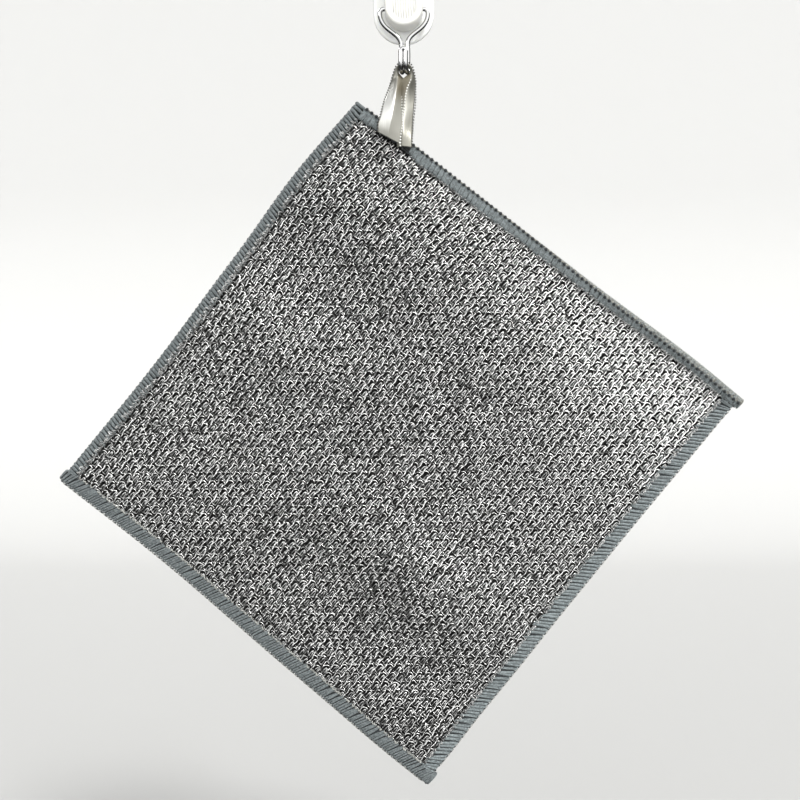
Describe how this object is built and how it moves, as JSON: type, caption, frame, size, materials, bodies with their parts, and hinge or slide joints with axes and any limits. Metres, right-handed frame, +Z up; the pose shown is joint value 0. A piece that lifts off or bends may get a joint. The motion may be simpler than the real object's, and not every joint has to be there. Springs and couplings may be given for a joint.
{
  "type": "wire dishwashing cloth on a wall hook",
  "caption": "Square knitted wire dishwashing cloth with overlocked edges, hanging by its ribbon loop from a small stick-on wall hook.",
  "frame": {"origin": "middle of the hook plate's back, which sticks to the wall", "axes": "+Z up, +X to the right as seen from the front, +Y into the wall; the cloth hangs towards -Y and -Z"},
  "size_m": [0.2832, 0.0173, 0.3501],
  "materials": {
    "wire_net": "knitted metal yarn, glinting",
    "edging_yarn": "matte yarn",
    "satin_ribbon": "satin",
    "bright_wire": "polished",
    "white_plastic": "gloss",
    "plate_plastic": "gloss"
  },
  "bodies": {
    "root": {"mesh_cloth": "wire_net", "edging_top_left": "edging_yarn", "edging_bottom_left": "edging_yarn", "edging_bottom_right": "edging_yarn", "edging_top_right": "edging_yarn", "ribbon_loop": "satin_ribbon", "hook_wire": "bright_wire", "hook_body": "white_plastic", "hook_base": "plate_plastic"}
  },
  "joints": []
}
